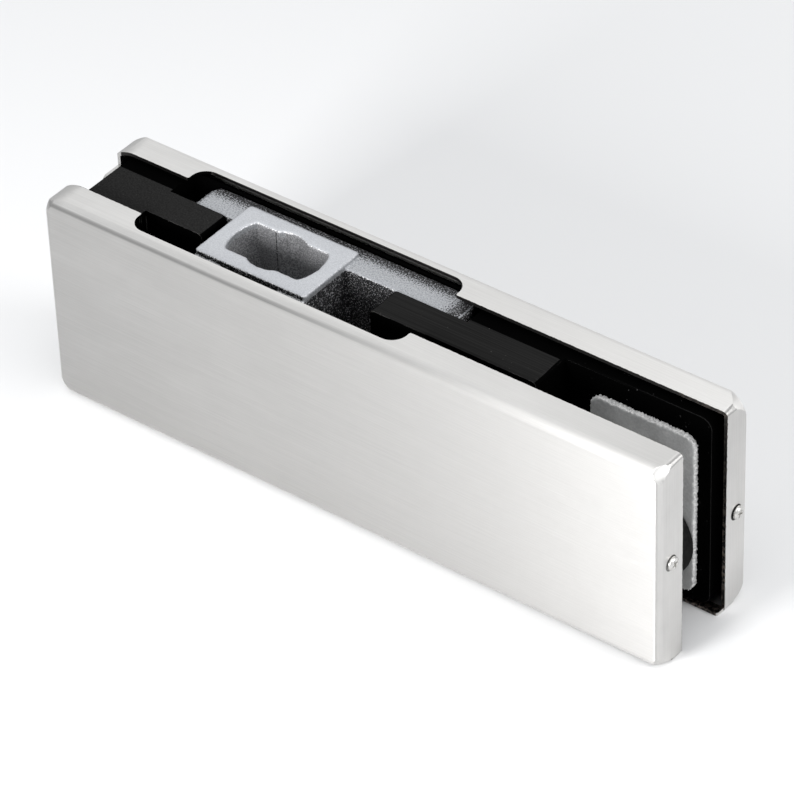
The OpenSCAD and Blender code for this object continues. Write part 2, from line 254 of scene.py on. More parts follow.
def objectNoise(tree, coords, stretch, scale, detail=3.0, roughness=0.55):
    mapping = addNode(tree, "Mapping", {"Vector": coords.outputs["Object"], "Scale": stretch})
    return addNode(tree, "TexNoise", {"Vector": mapping.outputs["Vector"], "Scale": scale, "Detail": detail,
                                      "Roughness": roughness}).outputs["Fac"]


def evenNoise(tree, coords, scale, detail=3.0, roughness=0.55):  # the same grain in every direction
    return objectNoise(tree, coords, (1, 1, 1), scale, detail, roughness)


def spread(tree, value, low, high, toLow, toHigh):  # a value from one range to another, clamped
    return addNode(tree, "MapRange", {"Value": value, "From Min": low, "From Max": high, "To Min": toLow,
                                      "To Max": toHigh}, clamp=True).outputs["Result"]


def ramp(tree, value, low, high):  # 0 at low, 1 at high
    return spread(tree, value, low, high, 0, 1)


def blendColours(tree, factor, a, b):
    mix = addNode(tree, "Mix", {"Factor": factor}, data_type="RGBA")
    for index, colour in ((6, a), (7, b)):
        if isinstance(colour, bpy.types.NodeSocket):
            tree.links.new(colour, mix.inputs[index])
        else:
            mix.inputs[index].default_value = (*colour, 1)
    return mix.outputs[2]


def blendValues(tree, factor, a, b):
    return addNode(tree, "Mix", {0: factor, 2: a, 3: b}).outputs[0]


def calc(tree, operation, a, b=0.0):
    return addNode(tree, "Math", {0: a, 1: b}, operation=operation).outputs["Value"]


def times(tree, product, *others):
    for other in others:
        product = calc(tree, "MULTIPLY", product, other)
    return product


def above(tree, value, limit):
    return calc(tree, "GREATER_THAN", value, limit)


def below(tree, value, limit):
    return calc(tree, "LESS_THAN", value, limit)


def apart(tree, a, b):  # how far two values lie from each other
    return calc(tree, "ABSOLUTE", calc(tree, "SUBTRACT", a, b))


def edgeWear(tree, radius):  # 1 on sharp edges, 0 on flats
    soft = addNode(tree, "Bevel", {"Radius": radius}, samples=8)
    flat = addNode(tree, "NewGeometry")
    dot = addNode(tree, "VectorMath", {0: soft.outputs["Normal"], 1: flat.outputs["Normal"]},
                  operation="DOT_PRODUCT")
    return ramp(tree, dot.outputs["Value"], 0.985, 0.85)


def addSkin(tree, shader, colour, height, strength, depth):  # colour and fine bump of a surface
    bump = addNode(tree, "Bump", {"Strength": strength, "Distance": depth, "Height": height})
    tree.links.new(colour, shader.inputs["Base Color"])
    tree.links.new(bump.outputs["Normal"], shader.inputs["Normal"])


steelLook = dict(colour=(0.60, 0.592, 0.58), shade=(0.555, 0.548, 0.537), rough=(0.45, 0.37),
                 faceGain=0.875, lipGain=(1.15, 1.01), lipX=(-70 * mm, 30 * mm), frontFade=0.83,
                 frontFadeX=(45 * mm, 80 * mm), rearLift=1.07, rearLiftX=(-10 * mm, 80 * mm),
                 endGain=1.12, rearEndGain=(1.21, 1.02),
                 rearEndZ=(12 * mm, 45 * mm), foldShade=0.62, foldLean=(0.48, 0.68),
                 foldLeanX=(-30 * mm, 10 * mm), foldX=(-20 * mm, 40 * mm), bowShade=0.74,
                 bowX=(-82 * mm, -76.5 * mm), ballGain=1.4, endFoldShade=0.68, brushing=0.9,
                 grain=(45, 5200), cloud=45, tone=(0.38, 0.62), toneShares=(0.6, 0.4),
                 endTurn=(0.25, 0.6), lipTurn=(0.45, 0.75), foldTurn=(0.24, 0.08), bowTurn=0.5,
                 ballTurn=(-0.02, -0.17), ballEnd=(0.8, 0.5), endFoldTurn=(0.2, 0.4), endFoldFlat=0.25,
                 bump=(0.1, 0.02 * mm))
# painted shadow round the cover screw heads
screwShadowLook = dict(colour=(0.02, 0.02, 0.02), screwY=(-12.02 * mm, 11.65 * mm), screwZ=(27.3 * mm, 24.7 * mm),
                radius=1.84 * mm, fade=0.1 * mm, strength=(0.75, 1))
# dull sheared edges, and painted shade inside the lip edges and in the notch
cutAndShadeLook = dict(lipEdge=7.9 * mm, colour=(0.025, 0.024, 0.023), ragged=(0.1 * mm, 0.22 * mm), fade=0.05 * mm,
               closedEnd=-79.6 * mm, lowEnd=1.2 * mm, grit=(0.26, 0.22, 0.19), gritFrom=68 * mm,
               gritZ=(18 * mm, 42 * mm), gritScale=1100, gritBites=(0.40, 0.70), gritShows=(0.44, 0.60),
               gritLevels=(1, 0.15), wallFrom=52.5 * mm, wallDepth=5.3 * mm, wallReach=70 * mm, wallTurn=0.5)


def paintedSteelLight(tree, facing, place, onEnd, isRear):  # painted light and shade: how light each face, lip and fold of a cover is painted
    look = steelLook
    faceX, faceY, faceZ = facing
    x, _, z = place
    frontFade = spread(tree, x, *look["frontFadeX"], 1, look["frontFade"])
    rearLift = spread(tree, x, *look["rearLiftX"], 1, look["rearLift"])
    lip = times(tree, spread(tree, x, *look["lipX"], *look["lipGain"]),
                blendValues(tree, isRear, frontFade, rearLift))
    gain = blendValues(tree, ramp(tree, faceZ, *look["lipTurn"]), look["faceGain"], lip)
    rearEnd = spread(tree, z, *look["rearEndZ"], *look["rearEndGain"])
    gain = blendValues(tree, onEnd, gain, blendValues(tree, isRear, look["endGain"], rearEnd))
    # painted shade along the top fold and over the bowed closed end
    fold = apart(tree, faceZ, spread(tree, x, *look["foldLeanX"], *look["foldLean"]))
    fold = times(tree, ramp(tree, fold, *look["foldTurn"]), spread(tree, x, *look["foldX"], 1, 0))
    bow = times(tree, spread(tree, x, *look["bowX"], 1, 0), above(tree, faceZ, look["bowTurn"]))
    ball = ramp(tree, times(tree, faceX, faceY, faceZ), *look["ballTurn"])  # painted highlight where three faces meet
    ball = times(tree, ball, ramp(tree, calc(tree, "ABSOLUTE", faceX), *look["ballEnd"]))
    endFold = ramp(tree, times(tree, faceX, faceZ), *look["endFoldTurn"])  # painted shade between the top and end lips
    endFold = times(tree, endFold, below(tree, calc(tree, "ABSOLUTE", faceY), look["endFoldFlat"]))
    for where, level in ((fold, look["foldShade"]), (bow, look["bowShade"]), (ball, look["ballGain"]),
                         (endFold, look["endFoldShade"])):
        gain = times(tree, gain, spread(tree, where, 0, 1, 1, level))
    return gain


def addScrewShadow(tree, colour, place, onEnd, isRear):  # painted shadow: a dark ring round each cover screw
    look = screwShadowLook
    besideY = apart(tree, place[1], blendValues(tree, isRear, *look["screwY"]))
    besideZ = apart(tree, place[2], blendValues(tree, isRear, *look["screwZ"]))
    squares = calc(tree, "ADD", calc(tree, "POWER", besideY, 2), calc(tree, "POWER", besideZ, 2))
    ring = spread(tree, calc(tree, "SQRT", squares), look["radius"], look["radius"] + look["fade"], 1, 0)
    ring = times(tree, ring, spread(tree, isRear, 0, 1, *look["strength"]), onEnd)
    return blendColours(tree, ring, colour, look["colour"])


def addCutEdgesAndShade(tree, colour, coords, facing, place, onEnd, isRear):  # dull sheared edges, with painted shade on the low lip and the notch walls
    look = cutAndShadeLook
    x, y, z = place
    fromLip = calc(tree, "SUBTRACT", calc(tree, "ABSOLUTE", y), look["lipEdge"])
    grit = evenNoise(tree, coords, look["gritScale"])
    ragged = blendValues(tree, times(tree, onEnd, isRear), *look["ragged"])
    reach = calc(tree, "SUBTRACT", fromLip, times(tree, ramp(tree, grit, *look["gritBites"]), ragged))
    # dark within the lip edges: the sheared edges are dull, the low lip behind them is painted shade
    cut = times(tree, spread(tree, reach, 0.0, look["fade"], 1, 0), above(tree, x, look["closedEnd"]))
    lowEnd = times(tree, onEnd, below(tree, z, look["lowEnd"]))
    cut = times(tree, cut, calc(tree, "SUBTRACT", 1.0, lowEnd))
    gritty = times(tree, isRear, above(tree, x, look["gritFrom"]), ramp(tree, grit, *look["gritShows"]),
                   spread(tree, z, *look["gritZ"], *look["gritLevels"]))
    colour = blendColours(tree, cut, colour, blendColours(tree, gritty, look["colour"], look["grit"]))
    # painted shade: the notch walls take the same dark colour
    wall = times(tree, below(tree, calc(tree, "ABSOLUTE", facing[2]), look["wallTurn"]),
                 above(tree, z, look["wallFrom"]), below(tree, fromLip, look["wallDepth"]),
                 below(tree, calc(tree, "ABSOLUTE", x), look["wallReach"]))
    return blendColours(tree, wall, colour, look["colour"])


def brushedSteel():
    material, tree, shader = startMaterial("brushedSteel")
    look = steelLook
    coords = addNode(tree, "TexCoord")
    facing = axesOf(tree, coords.outputs["Normal"])
    place = axesOf(tree, coords.outputs["Object"])
    towardsEnd = calc(tree, "ABSOLUTE", facing[0])
    onEnd = ramp(tree, towardsEnd, *look["endTurn"])
    isRear = above(tree, place[1], 0)
    coarse, fine = look["grain"]  # along and across the brushing
    lengthwise = objectNoise(tree, coords, (coarse, fine, fine), 1, 4)
    upright = objectNoise(tree, coords, (fine, fine, coarse), 1, 4)
    grain = blendValues(tree, onEnd, lengthwise, upright)
    cloud = objectNoise(tree, coords, (1, 2.2, 2.2), look["cloud"], 5, 0.65)
    grainShare, cloudShare = look["toneShares"]
    tone = calc(tree, "ADD", times(tree, grain, grainShare), times(tree, cloud, cloudShare))
    colour = blendColours(tree, ramp(tree, tone, *look["tone"]), look["shade"], look["colour"])
    # painted light and shade, multiplied into the steel colour
    gain = paintedSteelLight(tree, facing, place, onEnd, isRear)
    tint = addNode(tree, "CombineColor", {0: gain, 1: gain, 2: gain}).outputs[0]
    colour = addNode(tree, "Mix", {0: 1.0, 6: colour, 7: tint}, data_type="RGBA",
                     blend_type="MULTIPLY").outputs[2]
    colour = addScrewShadow(tree, colour, place, onEnd, isRear)
    colour = addCutEdgesAndShade(tree, colour, coords, facing, place, onEnd, isRear)
    normal = addNode(tree, "NewGeometry").outputs["Normal"]
    across = addNode(tree, "VectorMath", {0: normal, 1: (1, 0, 0)}, operation="CROSS_PRODUCT")
    tangent = addNode(tree, "Mix", {0: above(tree, towardsEnd, 0.3), 4: across.outputs["Vector"],
                                    5: (0, 1, 0)}, data_type="VECTOR")
    tree.links.new(tangent.outputs[1], shader.inputs["Tangent"])
    tree.links.new(spread(tree, tone, *look["tone"], *look["rough"]), shader.inputs["Roughness"])
    addSkin(tree, shader, colour, grain, *look["bump"])
    shader.inputs["Anisotropic"].default_value = look["brushing"]
    shader.inputs["Metallic"].default_value = 1
    return material


paintLook = dict(colour=(0.0012, 0.0012, 0.0012), light=(0.0275, 0.0272, 0.0268), worn=(0.13, 0.127, 0.12),
                 speck=(0.055, 0.054, 0.052), topReach=5.1 * mm, brushedFrom=-20 * mm, slotFrom=43 * mm,
                 outline=(0.05, 0.0495, 0.049), rough=(0.42, 0.6), topTurn=0.85, lines=(30, 3200),
                 skin=2600, specks=1500, flakes=420, edge=0.3 * mm, bump=(0.25, 0.04 * mm))


def blackPaint():
    material, tree, shader = startMaterial("blackPaint")
    look = paintLook
    coords = addNode(tree, "TexCoord")
    faceZ = axesOf(tree, coords.outputs["Normal"])[2]
    x, y, _ = axesOf(tree, coords.outputs["Object"])
    # painted light and shade: up-facing tops in front of topReach are lighter, partly their brushed finish
    # and partly painted light; behind it they stay black as painted shade under the cover lip
    inFront = below(tree, y, look["topReach"])
    onTop = times(tree, above(tree, faceZ, look["topTurn"]), inFront)
    coarse, fine = look["lines"]
    lines = objectNoise(tree, coords, (coarse, fine, fine), 1, 4)
    skin = evenNoise(tree, coords, look["skin"], 4)
    brushed = above(tree, x, look["brushedFrom"])
    streak = blendValues(tree, brushed, skin, lines)
    lit = times(tree, onTop, spread(tree, streak, 0.36, 0.66, 0.5, 0.95), spread(tree, brushed, 0, 1, 1, 0.8))
    colour = blendColours(tree, lit, look["colour"], look["light"])
    specks = ramp(tree, evenNoise(tree, coords, look["specks"], 1), 0.76, 0.80)
    colour = blendColours(tree, times(tree, specks, onTop), colour, look["speck"])
    flakes = ramp(tree, evenNoise(tree, coords, look["flakes"]), 0.46, 0.58)
    edges = edgeWear(tree, look["edge"])
    colour = blendColours(tree, times(tree, edges, flakes, inFront), colour, look["worn"])
    # a dim line of worn edges and specks behind topReach at the glass end, partly wear and partly a painted
    # edge highlight, kept dim as painted shade
    outline = times(tree, calc(tree, "SUBTRACT", 1.0, inFront), above(tree, x, look["slotFrom"]))
    for marks in (edges, specks):
        colour = blendColours(tree, times(tree, marks, outline), colour, look["outline"])
    tree.links.new(spread(tree, skin, 0.3, 0.7, *look["rough"]), shader.inputs["Roughness"])
    addSkin(tree, shader, colour, skin, *look["bump"])
    shader.inputs["Specular IOR Level"].default_value = 0.0
    return material


castLook = dict(top=(0.52, 0.53, 0.55), grain=(0.40, 0.41, 0.43), wall=(0.022, 0.022, 0.023),
                speck=(0.60, 0.60, 0.62), groundFrom=51.3 * mm, plateShade=(0.24, 0.248, 0.26),
                plateTop=(0.44, 0.45, 0.468), borderY=(7.4 * mm, 11.8 * mm), borderX=(9.5 * mm, 14.5 * mm),
                borderLeft=(-53.5 * mm, -57 * mm), step=50.4 * mm, bore=(0.085, 0.085, 0.09),
                boreLight=(0.46, 0.46, 0.47), boreX=(-41 * mm, -17.6 * mm), boreY=7.4 * mm,
                boreFloor=31.4 * mm, seam=-34.0 * mm, seamColour=(0.004, 0.004, 0.004),
                seamWidth=(0.2 * mm, 0.08 * mm), rim=(0.92, 0.92, 0.92), rimFrom=49.5 * mm, rimTurn=0.62,
                grainScale=3600, sandScale=2900, rough=(0.6, 0.4), bump=(0.5, 0.12 * mm))


def greyCasting():
    material, tree, shader = startMaterial("greyCasting")
    look = castLook
    coords = addNode(tree, "TexCoord")
    faceX, faceY, faceZ = axesOf(tree, coords.outputs["Normal"])
    x, y, z = axesOf(tree, coords.outputs["Object"])
    grain = evenNoise(tree, coords, look["grainScale"], 4, 0.7)
    sand = evenNoise(tree, coords, look["sandScale"], 2, 0.6)
    # painted light and shade: up-facing faces take the pale ground colour and the sides the dark pitted wall
    # colour, partly the ground versus as-cast finish, partly painted shade on the sides
    onHead = above(tree, z, look["groundFrom"])
    lean = calc(tree, "ADD", faceZ, spread(tree, sand, 0.3, 0.7, -0.2, 0.2))
    flatHead = ramp(tree, lean, 0.45, 0.75)
    border = ramp(tree, y, *look["borderY"])  # the plate is paler inside its border: painted shade towards its rounded edges
    for place in ("borderX", "borderLeft"):
        border = calc(tree, "MAXIMUM", border, ramp(tree, x, *look[place]))
    kept = calc(tree, "ADD", sand, spread(tree, border, 0, 1, 0.26, -0.16))
    flatPlate = times(tree, ramp(tree, kept, 0.45, 0.58), ramp(tree, faceZ, 0.5, 0.7))
    onTop = blendValues(tree, onHead, flatPlate, flatHead)
    ground = blendColours(tree, ramp(tree, grain, 0.36, 0.62), look["grain"], look["top"])
    sanded = blendColours(tree, ramp(tree, sand, 0.35, 0.6), look["plateShade"], look["plateTop"])
    ground = blendColours(tree, onHead, sanded, ground)
    # specks on the dark wall colour, which is partly painted shade
    shadedPits = blendColours(tree, ramp(tree, sand, 0.55, 0.64), look["wall"], look["speck"])
    boreMid = sum(look["boreX"]) / 2
    inBore = times(tree, below(tree, apart(tree, x, boreMid), look["boreX"][1] - boreMid),
                   below(tree, calc(tree, "ABSOLUTE", y), look["boreY"]))
    # painted shade: the bore walls darken towards the socket floor
    boreLevel = spread(tree, z, look["boreFloor"], look["groundFrom"], 0.0, 0.35)
    boreGrain = calc(tree, "ADD", boreLevel, spread(tree, sand, 0.42, 0.64, 0, 0.65))
    shadedPits = blendColours(tree, inBore, shadedPits, blendColours(tree, boreGrain, look["bore"], look["boreLight"]))
    # painted light: right-facing faces above the step take the paler plate colour instead of the dark wall
    # colour
    sideStep = times(tree, above(tree, faceX, 0.4), above(tree, z, look["step"]))
    shadedPits = blendColours(tree, sideStep, shadedPits, sanded)
    colour = blendColours(tree, onTop, shadedPits, ground)
    seam = ramp(tree, apart(tree, x, look["seam"]), *look["seamWidth"])  # parting line in the socket
    seam = times(tree, seam, below(tree, faceZ, 0.5), spread(tree, sand, 0.62, 0.45, 0.1, 1))
    colour = blendColours(tree, seam, colour, look["seamColour"])
    # worn rim edges, brighter where they face the front: partly wear, partly painted highlight
    rim = times(tree, ramp(tree, apart(tree, faceZ, look["rimTurn"]), 0.18, 0.08),
                above(tree, z, look["rimFrom"]), spread(tree, faceY, 0.0, -0.35, 0.25, 0.8),
                ramp(tree, sand, 0.51, 0.62))
    colour = blendColours(tree, rim, colour, look["rim"])
    dull = spread(tree, grain, 0.3, 0.7, *look["rough"])
    tree.links.new(calc(tree, "SUBTRACT", dull, times(tree, rim, 0.1)), shader.inputs["Roughness"])
    addSkin(tree, shader, colour, sand, *look["bump"])
    shader.inputs["Metallic"].default_value = 0.5
    return material


fibreLook = dict(colour=(0.50, 0.50, 0.495), light=(0.72, 0.72, 0.71), cut=(0.97, 0.96, 0.94),
                 felt=1800, blotch=160, edge=0.8 * mm, bump=(0.4, 0.1 * mm))


def greyFibre():
    material, tree, shader = startMaterial("greyFibre")
    look = fibreLook
    coords = addNode(tree, "TexCoord")
    faceY = axesOf(tree, coords.outputs["Normal"])[1]
    onCut = ramp(tree, calc(tree, "ABSOLUTE", faceY), 0.9, 0.55)
    onCut = calc(tree, "MAXIMUM", onCut, edgeWear(tree, look["edge"]))
    felt = evenNoise(tree, coords, look["felt"], 5, 0.7)
    blotch = calc(tree, "ADD", felt, evenNoise(tree, coords, look["blotch"], 2))
    colour = blendColours(tree, ramp(tree, blotch, 0.75, 1.25), look["colour"], look["light"])
    fuzz = times(tree, onCut, spread(tree, felt, 0.42, 0.60, 0.05, 1))
    colour = blendColours(tree, fuzz, colour, look["cut"])
    addSkin(tree, shader, colour, felt, *look["bump"])
    shader.inputs["Roughness"].default_value = 0.85
    shader.inputs["Specular IOR Level"].default_value = 0.2
    return material


nylonLook = dict(colour=(0.014, 0.0135, 0.013), shade=(0.004, 0.004, 0.004), skin=1500, rough=(0.5, 0.7),
                 bump=(0.3, 0.05 * mm))


def blackNylon():
    material, tree, shader = startMaterial("blackNylon")
    look = nylonLook
    coords = addNode(tree, "TexCoord")
    skin = evenNoise(tree, coords, look["skin"], 4)
    colour = blendColours(tree, ramp(tree, skin, 0.35, 0.65), look["shade"], look["colour"])
    tree.links.new(spread(tree, skin, 0.3, 0.7, *look["rough"]), shader.inputs["Roughness"])
    addSkin(tree, shader, colour, skin, *look["bump"])
    shader.inputs["Specular IOR Level"].default_value = 0.06
    return material


def brightPlate(name, colour, rough):
    material, tree, shader = startMaterial(name)
    coords = addNode(tree, "TexCoord")
    scuff = evenNoise(tree, coords, 1400, 4)
    tint = blendColours(tree, ramp(tree, scuff, 0.35, 0.65), [0.75 * c for c in colour], colour)
    tree.links.new(tint, shader.inputs["Base Color"])
    tree.links.new(spread(tree, scuff, 0.3, 0.7, rough, rough + 0.15), shader.inputs["Roughness"])
    shader.inputs["Metallic"].default_value = 1
    return material


steel = brushedSteel()
paint = blackPaint()
casting = greyCasting()
fibre = greyFibre()
nylon = blackNylon()
screwPlate = brightPlate("screwPlate", (0.72, 0.71, 0.69), 0.18)
zincPlate = brightPlate("zincPlate", (0.55, 0.55, 0.56), 0.3)
print("materials ready")


# Covers: folded trays with a notched top lip, tabs at the closed end and screw holes

coverSheet = dict(sheet=0.8 * mm, lipEdge=7.9 * mm, fold=2.4 * mm, corner=1.6 * mm, lipCorner=1.3 * mm,
                  lowCorner=0.5 * mm, leastFold=0.2 * mm, bowRadius=8 * mm, bowReach=5 * mm, bowPast=2 * mm,
                  rodPast=3 * mm, closedBall=(7 * mm, 5.29 * mm), frontBall=(6.5 * mm, 4.94 * mm),
                  rearBall=(10 * mm, 7.39 * mm), lowBall=(6.2 * mm, 4.72 * mm), ballPast=2 * mm,
                  notch=(-60.3 * mm, 12.7 * mm), notchDepth=5 * mm, notchRadius=3.8 * mm,
                  mouthRadius=0.5 * mm, tabEdge=2.4 * mm, tabHeights=(29.6 * mm, 48.7 * mm),
                  tabRadius=1.4 * mm, tabRoot=2 * mm, lowLip=5.5 * mm, lowLipRadius=0.7 * mm,
                  lowLipStop=(3 * mm, 0.2 * mm), lowLipRoot=0.6 * mm, inset=0.01 * mm,
                  holeRadius=1.35 * mm, ease=0.14 * mm, easeAngle=60, shade=36)


def coverForm(name, low, high, side, shrink):  # closed block with the cover's rounded folds and ball corners
    c = coverSheet
    face = (low if side < 0 else high).y
    block = addBox(name, low, high)
    foldEdges(block, [(runsAlong("z", y=face), c["corner"] - shrink),
                      (runsAlong("x", y=face), c["fold"] - shrink),
                      (runsAlong("y"), max(c["lipCorner"] - shrink, c["leastFold"])),
                      (runsAlong("y", z=low.z), max(c["lowCorner"] - shrink, c["leastFold"]))], 14)
    bowX = low.x - shrink + c["bowReach"]
    past = c["bowPast"]
    for wayZ, outside in ((1, high.z), (-1, low.z)):
        level = outside + wayZ * shrink - wayZ * c["bowRadius"]
        cut = addBox("bowCut", (low.x - past, low.y - past, level),
                     (bowX, high.y + past, outside + wayZ * past))
        bow = addRod("bow", c["bowRadius"] - shrink, (bowX, low.y - c["rodPast"], level),
                     (bowX, high.y + c["rodPast"], level), 128)
        combine(block, combine(cut, bow, "DIFFERENCE"), "DIFFERENCE")
    ends = ((low.x - shrink, -1, ("closedBall", "closedBall")),
            (high.x + shrink, 1, ("lowBall", "rearBall" if side > 0 else "frontBall")))
    for endX, wayX, kinds in ends:
        for level, wayZ, kind in ((low.z - shrink, -1, kinds[0]), (high.z + shrink, 1, kinds[1])):
            radius, setIn = c[kind]
            outward = Vector((wayX, side, wayZ))
            centre = Vector((endX, face + side * shrink, level)) - outward * setIn
            quarter = addBox("quarter", centre, centre + outward * (radius + c["ballPast"]))
            ball = addBall("ball", radius - shrink, centre)
            combine(block, combine(quarter, ball, "DIFFERENCE"), "DIFFERENCE")
    return block


def makeCover(name, side, node):
    c = coverSheet
    low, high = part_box(node)
    (low if side > 0 else high).y = side * c["lipEdge"]
    piece = coverForm(name, low, high, side, 0)
    sheet = Vector((c["sheet"],) * 3)
    hollowLow = low + sheet
    hollowHigh = high - sheet
    (hollowLow if side > 0 else hollowHigh).y = 0
    combine(piece, coverForm("hollow", hollowLow, hollowHigh, side, c["sheet"]), "DIFFERENCE")
    notchEnd = side * (c["lipEdge"] + c["notchDepth"])
    notch = addBox("notch", (c["notch"][0], 0, high.z - c["sheet"] - spare),
                   (c["notch"][1], notchEnd, high.z + spare))
    bevelEdges(notch, runsAlong("z", y=notchEnd), c["notchRadius"], 10)
    combine(piece, notch, "DIFFERENCE")
    for x in c["notch"]:
        bevelEdges(piece, runsAlong("z", x=x, y=side * c["lipEdge"]), c["mouthRadius"], 5)
    inset = c["inset"]
    tab = addBox("tab", (low.x + inset, side * c["tabEdge"], c["tabHeights"][0]),
                 (low.x + c["sheet"] - inset, side * (c["lipEdge"] + c["tabRoot"]), c["tabHeights"][1]))
    bevelEdges(tab, runsAlong("x", y=side * c["tabEdge"]), c["tabRadius"], 6)
    combine(piece, tab, "UNION")
    lipEnd = high.x - c["lowLipStop"][side > 0]  # the front strip stops behind its end lip
    strip = addBox("lowLip", (low.x + c["bowReach"], side * c["lowLip"], low.z + inset),
                   (lipEnd, side * (c["lipEdge"] + c["lowLipRoot"]), low.z + c["sheet"] - inset))
    bevelEdges(strip, runsAlong("z", y=side * c["lowLip"]), c["lowLipRadius"], 8)
    bevelEdges(strip, runsAlong("y", x=lipEnd, z=low.z + inset), c["lowCorner"], 4)
    combine(piece, strip, "UNION")
    middle = middleOf(node.replace("cover", "right_screw"))
    hole = addRod("hole", c["holeRadius"], (low.x - spare, middle.y, middle.z),
                  (high.x + spare, middle.y, middle.z), 32)
    combine(piece, hole, "DIFFERENCE")
    return easeEdges(piece, c["ease"], angle=c["easeAngle"], shade=c["shade"])


finishPiece(makeCover("rearCover", 1, "rear_cover"), "rear_half", "cover_steel", steel, "rear_cover")
finishPiece(makeCover("frontCover", -1, "front_cover"), "front_half", "cover_steel", steel, "front_cover")


# Castings: two slabs with pockets, and the block and bar that cross the gap on the rear one

castBody = dict(inner=6.3 * mm, corner=2.8 * mm, backEdge=2.4 * mm, pocket=(-62.5 * mm, 18.5 * mm),
                pocketFloor=29.6 * mm, pocketPast=5 * mm, rearPocket=12.9 * mm, frontPocket=11.0 * mm,
                blockFront=-5.9 * mm, blockStart=-78.3 * mm, tongueHalf=4.3 * mm, tongueEnd=-46.8 * mm,
                bar=(-1 * mm, 42.5 * mm), ribEdge=1.2 * mm, ribReach=0.5 * mm, tapRadius=4.06 * mm,
                plainRadius=4.25 * mm, headRadius=6.75 * mm, headSeat=9.4 * mm, lockRadius=3.06 * mm,
                ease=0.4 * mm, ribEase=0.2 * mm)
clampScrews = ("left_clamp_screw", "right_clamp_screw")
lockScrews = ("left_lock_screw", "right_lock_screw")


def bodySlab(name, side, node):
    b = castBody
    low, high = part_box(node)
    back = max(abs(low.y), abs(high.y))
    slab = addBox(name, (low.x, side * b["inner"], low.z), (high.x, side * back, high.z))
    foldEdges(slab, [(runsAlong("y"), b["corner"]), (runsAlong("x", y=side * back), b["backEdge"])], 8)
    easeEdges(slab, b["ease"])
    pocketBack = side * (b["rearPocket"] if side > 0 else b["frontPocket"])
    pocket = addBox("pocket", (b["pocket"][0], 0, b["pocketFloor"]),
                    (b["pocket"][1], pocketBack, high.z + b["pocketPast"]))
    combine(slab, pocket, "DIFFERENCE")
    return slab, back, high.z


def makeRearBody():
    b = castBody
    slab, back, top = bodySlab("rearCasting", 1, "rear_body")
    half = b["tongueHalf"]
    reach = b["ribReach"]  # how far a rib runs into what carries it
    inside = b["inner"] + reach
    pocketStart, pocketEnd = b["pocket"]
    barStart, barEnd = b["bar"]
    ribs = (("endBlock", b["blockStart"], pocketStart, b["blockFront"], inside, b["blockStart"]),
            ("tongue", pocketStart - reach, b["tongueEnd"], -half, half, b["tongueEnd"]),
            ("barStub", barStart, pocketEnd + reach, -half, half, barStart),
            ("bar", pocketEnd, barEnd, -half, inside, barEnd))
    for name, x0, x1, y0, y1, freeEnd in ribs:
        rib = addBox(name, (x0, y0, b["pocketFloor"]), (x1, y1, top))
        bevelEdges(rib, runsAlong("y", x=freeEnd, z=top), b["ribEdge"], 6)
        easeEdges(rib, b["ribEase"])
        combine(slab, rib, "UNION")
    for node in clampScrews:
        hole = addCrossRod("hole", b["tapRadius"], middleOf(node), 0, back + spare, 40)
        combine(slab, hole, "DIFFERENCE")
    for node in lockScrews:
        hole = addCrossRod("hole", b["lockRadius"], middleOf(node), b["rearPocket"] - spare, back + spare, 32)
        combine(slab, hole, "DIFFERENCE")
    return smoothShade(closeSeams(slab))


def makeFrontBody():
    b = castBody
    slab, back, _ = bodySlab("frontCasting", -1, "front_body")
    outside = -(back + spare)
    for node in clampScrews:
        hole = addCrossRod("hole", b["plainRadius"], middleOf(node), 0, outside, 40)
        combine(slab, hole, "DIFFERENCE")
        sink = addCrossRod("sink", b["headRadius"], middleOf(node), -b["headSeat"], outside, 48)
        combine(slab, sink, "DIFFERENCE")
    return smoothShade(closeSeams(slab))


finishPiece(makeRearBody(), "rear_half", "black_casting", paint, "rear_body")
finishPiece(makeFrontBody(), "front_half", "black_casting", paint, "front_body")


# Pivot insert: a socket head with a plate behind it, rough as cast

insertCast = dict(pivotX=-29.3 * mm, headLength=30 * mm, headWidth=19.6 * mm, headCorner=0.8 * mm,
                  plateFront=4.5 * mm, plateStep=1.3 * mm, plateCorner=5 * mm, plateEdge=0.8 * mm,
                  plateEnd=1.6 * mm, lugLength=7.3 * mm, lugStep=1.4 * mm, lugRoot=1 * mm,
                  socketWidth=11 * mm, socketEnd=11.3 * mm, socketMiddle=6.8 * mm, socketDepth=20.6 * mm,
                  socketPast=2 * mm, voxel=0.34 * mm, skin=0.16 * mm, skinGrain=0.8 * mm, flatShare=0.35)


